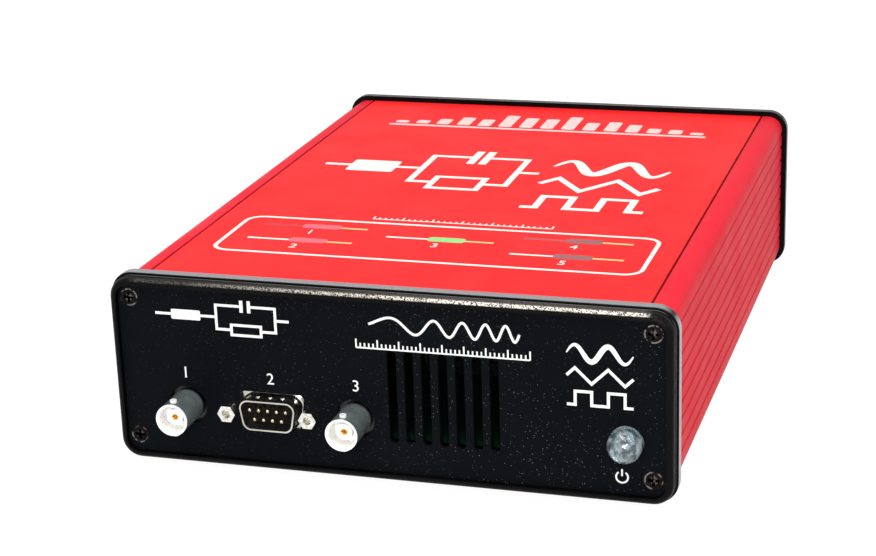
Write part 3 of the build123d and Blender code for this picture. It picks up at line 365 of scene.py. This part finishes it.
worn = {
    "case_extrusion": "case_red", "top_cover": "cover_red",
    "front_bezel": "bezel_black", "rear_bezel": "bezel_black",
    "front_panel": "panel_black", "rear_panel": "panel_black",
    "front_panel_screws": "screw_black", "rear_panel_screws": "screw_black", "rubber_feet": "rubber",
    "dsub_shell": "nickel", "dsub_insulator": "deep_black", "dsub_pins": "pin_gold",
    "dsub_jackscrews": "hex_nickel",
    "lamp_lens": "resin", "lamp_leads": "lead_frame", "lamp_holder": "deep_black",
    "main_board": "board_green", "heat_sink": "anodised", "power_transistors": "black_plastic",
    "shield_can": "tin", "relays": "relay",
    "processor_chip": "black_plastic", "signal_chips": "black_plastic",
    "capacitors": "sleeve_blue", "converters": "black_plastic", "wire_headers": "relay",
    "switch_leads": "insulation", "fan_leads": "insulation",
    "usb_shell": "nickel", "usb_core": "socket_white", "inlet_body": "black_plastic", "inlet_pin": "nickel",
    "switch_housing": "black_plastic", "switch_rocker": "black_plastic", "switch_terminals": "nickel",
    "fan_frame": "black_plastic", "fan_rotor": "black_plastic", "fan_stator": "copper",
    "fan_screws": "screw_black", "fan_nuts": "tin",
}
for side in ("left", "right"):
    worn[f"{side}_jack_housing"] = "jack_grey"
    worn[f"{side}_jack_sleeve"] = "jack_metal"
    worn[f"{side}_jack_insulator"] = "white_core"
    worn[f"{side}_jack_contact"] = "gold"
    worn[f"{side}_jack_studs"] = "jack_metal"
for node, key in worn.items():
    for material_slot in nodes[node].material_slots:
        material_slot.link = "OBJECT"
        material_slot.material = mats[key]


# Print
def stroke(points, width, closed=False):
    """Quads along a line of that width, mitred at its corners."""
    pts = [Vector(p) for p in points]
    n = len(pts)
    sides = []
    for i, p in enumerate(pts):
        before = pts[i - 1] if i or closed else None
        after = pts[(i + 1) % n] if i < n - 1 or closed else None
        directions = [d.normalized() for d in (before and p - before, after and after - p) if d]
        normals = [Vector((-d.y, d.x)) for d in directions]
        mitre = (normals[0] + normals[-1]).normalized()
        w = width(i / (n - 1)) if callable(width) else width
        half = w / 2 / max(mitre.dot(normals[0]), 0.4)
        sides.append((p + mitre * half, p - mitre * half))
    count = n if closed else n - 1
    quads = []
    for i in range(count):
        a, b = sides[i], sides[(i + 1) % n]
        quads.append([a[1], b[1], b[0], a[0]])
    return quads


def arc(cx, cy, r, start, end, steps=12):
    """Points on an arc, its angles in degrees."""
    return [
        (cx + r * math.cos(math.radians(start + (end - start) * k / steps)),
         cy + r * math.sin(math.radians(start + (end - start) * k / steps)))
        for k in range(steps + 1)
    ]


def rounded(x0, y0, x1, y1, r, steps=6):
    """Outline of a box with rounded corners."""
    return (arc(x1 - r, y1 - r, r, 0, 90, steps) + arc(x0 + r, y1 - r, r, 90, 180, steps)
            + arc(x0 + r, y0 + r, r, 180, 270, steps) + arc(x1 - r, y0 + r, r, 270, 360, steps))


def bar(x0, y0, x1, y1, r):
    """Filled box with rounded corners, as one face."""
    return [[Vector(p) for p in rounded(x0, y0, x1, y1, r)]]


def digits(text, x, y, height):
    """Flat outlines of plain numbers, as faces of a text object's mesh."""
    curve = bpy.data.curves.new("digits", "FONT")
    curve.body = text
    curve.size = 1.0
    curve.align_x = "CENTER"
    curve.resolution_u = 4
    obj = bpy.data.objects.new("digits", curve)
    scene.collection.objects.link(obj)
    bpy.context.view_layer.update()
    mesh = bpy.data.meshes.new_from_object(obj.evaluated_get(bpy.context.evaluated_depsgraph_get()))
    top = max(v.co.y for v in mesh.vertices)
    k = height / top
    faces = [[Vector((x + mesh.vertices[i].co.x * k, y + mesh.vertices[i].co.y * k)) for i in f.vertices]
             for f in mesh.polygons]
    bpy.data.objects.remove(obj)
    bpy.data.curves.remove(curve)
    bpy.data.meshes.remove(mesh)
    return faces


def lay_print(name, faces, place, material):
    """Thin film of ink: faces in mm on the plane that place maps to the frame."""
    verts, polys = [], []
    for face in faces:
        start = len(verts)
        n = len(face)
        area = sum(a.x * b.y - b.x * a.y for a, b in zip(face, face[1:] + face[:1]))
        ring = face if area > 0 else face[::-1]
        height = PRINT_T + len(polys) % PRINT_LEVELS * PRINT_STEP
        verts += [place(p.x / 1000, p.y / 1000, height) for p in ring]
        verts += [place(p.x / 1000, p.y / 1000, PRINT_BACK) for p in ring]
        polys.append(list(range(start, start + n)))
        for i in range(n):
            j = (i + 1) % n
            polys.append([start + n + i, start + n + j, start + j, start + i])
    mesh = bpy.data.meshes.new(name)
    mesh.from_pydata(verts, [], polys)
    mesh.materials.append(material)
    obj = bpy.data.objects.new(name, mesh)
    scene.collection.objects.link(obj)
    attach(obj, "case")


def on_top(u, v, h):
    """Place on the cover, h above it."""
    return (u, v, TOP_Z + h)


def on_front(u, v, h):
    """Place on the front panel, h before it."""
    return (u, FRONT_Y - h, v)


white_ink = ink("white_ink", (0.88, 0.88, 0.86))
top_white = ink("top_white", (0.90, 0.86, 0.78))
faded_ink = ink("faded_ink", (0.90, 0.62, 0.60), 0.2)
pink_ink = ink("pink_ink", (0.75, 0.12, 0.16))
green_ink = ink("green_ink", (0.26, 0.66, 0.22))
grey_ink = ink("grey_ink", (0.28, 0.10, 0.10))
maroon_ink = ink("maroon_ink", (0.38, 0.05, 0.06))
yellow_ink = ink("yellow_ink", (0.92, 0.60, 0.24))


def circuit(x, y, w, h, t):
    """Generic circuit drawing: a resistor, then a capacitor beside a second resistor."""
    mid = y + h / 2
    low, high = y + h * 0.14, y + h * 0.86
    box_w, box_h = w * 0.22, h * 0.30
    x1, x2 = x + w * 0.12, x + w * 0.12 + box_w
    x3, x4 = x + w * 0.46, x + w * 0.90
    centre, plate = (x3 + x4) / 2, w * 0.028
    faces = stroke([(x, mid), (x1, mid)], t) + bar(x1, mid - box_h / 2, x2, mid + box_h / 2, t / 2)
    faces += stroke([(x2, mid), (x3, mid)], t) + stroke([(x4, mid), (x + w, mid)], t)
    faces += stroke([(centre - plate, high), (x3, high), (x3, low), (centre - box_w / 2, low)], t)
    faces += stroke([(centre + plate, high), (x4, high), (x4, low), (centre + box_w / 2, low)], t)
    for s in (-1, 1):
        plate_x = centre + s * plate
        faces += stroke([(plate_x, high - box_h * 0.6), (plate_x, high + box_h * 0.6)], t * 1.3)
    left, right = centre - box_w / 2, centre + box_w / 2
    bottom, top = low - box_h / 2, low + box_h / 2
    return faces + stroke([(left, bottom), (right, bottom), (right, top), (left, top)], t, True)


def swelling(t):
    """Stroke width that swells towards the middle of a line."""
    return lambda s: t * (0.35 + 1.5 * math.sin(math.pi * s) ** 0.7)


def waves(x, y, w, h, t):
    """Generic wave traces, one above the other: sine, triangle and square."""
    third = h / 3
    faces = stroke([(x + w * k / 60, y + 2.5 * third + third * 0.36 * math.sin(4 * math.pi * k / 60))
                    for k in range(61)], swelling(t))
    faces += stroke([(x + w * k / 8, y + 1.5 * third + third * 0.34 * (0, 1, 0, -1)[k % 4])
                     for k in range(9)], t)
    square = [(x, y + 0.2 * third)]
    for k in range(4):
        edge = x + w * (k + 0.5) / 4
        square += [(edge, square[-1][1]), (edge, y + (0.8 if k % 2 == 0 else 0.2) * third)]
    square.append((x + w, square[-1][1]))
    return faces + stroke(square, t)


def sweep(x, y, w, h, t):
    """Generic sine trace whose pitch rises along it."""
    points = []
    for k in range(181):
        s = k / 180
        points.append((x + w * s, y + h / 2 + h / 2 * math.sin(2 * math.pi * (1.2 * s + 3.8 * s * s))))
    return stroke(points, t)


def level_bars(x0, x1, y, height, count, fill):
    """Row of upright bars under one smooth hump, on a base line."""
    pitch = (x1 - x0) / count
    faces = bar(x0, y, x1, y + height * 0.09, height * 0.03)
    for k in range(count):
        s = (k + 0.5) / count
        rise = height * (0.28 + 0.72 * math.sin(math.pi * s) ** 1.4 * (0.78 + 0.22 * math.cos(k * 2.4)))
        mid = x0 + pitch * (k + 0.5)
        half = pitch * fill / 2
        faces += bar(mid - half, y + height * 0.16, mid + half, y + rise, height * 0.05)
    return faces


def ticks(x0, x1, y, height, count, t):
    """Line with ticks, every fifth one longer."""
    faces = stroke([(x0, y), (x1, y)], t)
    for k in range(count + 1):
        x = x0 + (x1 - x0) * k / count
        faces += stroke([(x, y), (x, y + height * (1.0 if k % 5 == 0 else 0.55))], t)
    return faces


# Top, in mm: outlined field with five lead symbols and plain numbers
FIELD = (-65.5, -76.0, 67.0, -41.5)
FIELD_R = 5.0
FIELD_LINE = 1.3
LEAD_LINE = 1.1
SLEEVE_LOW, SLEEVE_HIGH, SLEEVE_R = 1.8, 2.4, 1.4
NUMBER_H = 3.6
NUMBER_DROP = 7.2
top_faces = stroke(rounded(*FIELD, FIELD_R), FIELD_LINE, True)
# Each lead: ends of its line, sleeve and tip along X, its Y, and the inks of line and sleeve
leads = [
    ((-58.0, -45.5, -32.9, -24.1), -48.8, maroon_ink, pink_ink),
    ((-58.4, -44.9, -32.7, -24.5), -63.0, None, pink_ink),
    ((-16.2, -2.8, 9.0, 18.0), -54.6, None, green_ink),
    ((25.7, 39.0, 50.4, 59.7), -48.3, grey_ink, grey_ink),
    ((25.3, 38.6, 50.6, 59.9), -63.6, None, grey_ink),
]
yellow_faces = []
sleeves = {}
for k, ((x0, x1, x2, x3), y, line, sleeve) in enumerate(leads):
    if line is None:
        top_faces += stroke([(x0, y), (x1, y)], LEAD_LINE)
    else:
        sleeves.setdefault(line.name, (line, []))[1].extend(stroke([(x0, y), (x1, y)], LEAD_LINE))
    sheath = bar(x1, y - SLEEVE_LOW, x2, y + SLEEVE_HIGH, SLEEVE_R)
    sleeves.setdefault(sleeve.name, (sleeve, []))[1].extend(sheath)
    yellow_faces += stroke([(x2, y), (x3, y)], LEAD_LINE)
    top_faces += digits(str(k + 1), (x0 + x3) / 2, y - NUMBER_DROP, NUMBER_H)
top_faces += circuit(-63.0, 0.0, 76.0, 44.0, 2.2)
top_faces += waves(16.0, -20.0, 40.0, 62.0, 2.4)
top_faces += ticks(-26.0, 32.0, -37.5, 2.6, 30, 0.5)
lay_print("top_print", top_faces, on_top, top_white)
lay_print("top_print_yellow", yellow_faces, on_top, yellow_ink)
for name, (material, faces) in sorted(sleeves.items()):
    lay_print("top_print_" + name.split("_")[0], faces, on_top, material)
rear_faces = level_bars(-58.0, 60.0, 77.0, 22.0, 15, 0.62)
lay_print("top_print_rear", rear_faces, on_top, faded_ink)

# Front, in mm: generic drawings where the print sits, plain numbers and a power symbol
CONNECTOR_NUMBERS = (("1", -61.4), ("2", -34.85), ("3", -8.7))
CONNECTOR_NUMBER_Z = 28.8
CONNECTOR_NUMBER_H = 3.4
POWER_X, POWER_Z, POWER_R, POWER_LINE = 68.8, 9.6, 1.7, 0.5
front_faces = circuit(-69.6, 43.4, 41.5, 10.2, 0.8)
front_faces += sweep(-4.0, 47.4, 44.0, 4.6, 0.75) + ticks(-8.0, 43.0, 42.4, 2.6, 40, 0.45)
front_faces += waves(53.3, 29.0, 18.8, 20.0, 0.85)
for text, x in CONNECTOR_NUMBERS:
    front_faces += digits(text, x, CONNECTOR_NUMBER_Z, CONNECTOR_NUMBER_H)
front_faces += stroke(arc(POWER_X, POWER_Z, POWER_R, 125, 415, 24), POWER_LINE)
front_faces += stroke([(POWER_X, POWER_Z + 0.3), (POWER_X, POWER_Z + 2.4)], POWER_LINE)
lay_print("front_print", front_faces, on_front, white_ink)


# Light, floor and camera
def lamp(name, where, target, size, power, color=(1, 1, 1), size_y=None):
    light = bpy.data.lights.new(name, "AREA")
    light.energy = power
    light.color = color
    light.shape = "RECTANGLE"
    light.size = size
    light.size_y = size_y or size
    obj = bpy.data.objects.new(name, light)
    obj.location = where
    obj.rotation_euler = (Vector(target) - Vector(where)).to_track_quat("-Z", "Y").to_euler()
    scene.collection.objects.link(obj)


lamp("key", (-0.06, -0.42, 1.05), (0, 0, 0.03), 0.6, 9, (1, 0.99, 0.98), 0.5)
lamp("front", (0.22, -1.02, 0.40), (0, 0, 0.03), 0.25, 5.4)
lamp("side", (1.0, -0.25, 0.55), (0.08, 0, 0.03), 0.6, 3.0, (0.98, 0.99, 1))


def wire(tree, kind, inputs=(), **props):
    """New node in a tree, its inputs given as numbers or as other nodes' outputs."""
    node = tree.nodes.new(kind)
    for key, value in props.items():
        setattr(node, key, value)
    for key, value in dict(inputs).items():
        if isinstance(value, bpy.types.NodeSocket):
            tree.links.new(value, node.inputs[key])
        else:
            node.inputs[key].default_value = value
    return node


def shown(tree):
    """1 where a ray should meet the white background: seen directly, in a gloss, or through the lens."""
    path = tree.nodes.new("ShaderNodeLightPath").outputs
    either = wire(tree, "ShaderNodeMath", {0: path["Is Glossy Ray"], 1: path["Is Transmission Ray"]},
                  operation="MAXIMUM")
    return wire(tree, "ShaderNodeMath", {0: path["Is Camera Ray"], 1: either.outputs[0]},
                operation="MAXIMUM").outputs[0]


world = bpy.data.worlds.new("studio")
scene.world = world
world.use_nodes = True
tree = world.node_tree
level = wire(tree, "ShaderNodeMix", {"Factor": shown(tree), "A": 0.5, "B": 1.0})
tree.links.new(level.outputs["Result"], tree.nodes["Background"].inputs["Strength"])
tree.nodes["Background"].inputs["Color"].default_value = (1, 1, 1, 1)

FLOOR_HALF = 3
corners = [(sx * FLOOR_HALF, sy * FLOOR_HALF, 0) for sx, sy in ((-1, -1), (1, -1), (1, 1), (-1, 1))]
floor_mesh = bpy.data.meshes.new("floor")
floor_mesh.from_pydata(corners, [], [[0, 1, 2, 3]])
floor = bpy.data.objects.new("floor", floor_mesh)
scene.collection.objects.link(floor)
floor_net = Net("floor_white")
seen = shown(floor_net.tree)
pale = floor_net.mix(floor_net.ramp(floor_net.noise(3.0, 2.0), 0.3, 0.7, 0.0, 1.0),
                     (0.12, 0.12, 0.12), (0.11, 0.11, 0.11))
floor_net.to("Base Color", floor_net.mix(seen, (0.6, 0.6, 0.6), pale))
floor_net.to("Roughness", floor_net.ramp(floor_net.noise(40.0, 2.0), 0.3, 0.7, 0.6, 0.7))
floor_net.to("Emission Strength", floor_net.math("MULTIPLY", seen, 0.95))
floor_net.set(spec=0.1, emit=(1, 1, 1, 1))
floor_mesh.materials.append(floor_net.mat)

# Camera fitted to the photograph: focal length in its pixels, place, and turn as axis times angle
PICTURE_W = 876
FOCAL_PX = 2065.17
CAMERA_AT = (0.178113, -0.627423, 0.248630)
CAMERA_TURN = (1.886949, 0.253627, -0.228009)
camera_data = bpy.data.cameras.new("camera")
camera = bpy.data.objects.new("camera", camera_data)
scene.collection.objects.link(camera)
scene.camera = camera
camera_data.sensor_width = 36.0
camera_data.lens = FOCAL_PX / PICTURE_W * camera_data.sensor_width
camera_data.clip_start = 0.05
camera_data.clip_end = 20.0
turn = Vector(CAMERA_TURN)
to_view = Matrix.Rotation(turn.length, 3, turn.normalized())
axes = Matrix((to_view[0], -to_view[1], -to_view[2])).transposed()
camera.matrix_world = Matrix.Translation(CAMERA_AT) @ axes.to_4x4()

scene.view_settings.view_transform = "Standard"
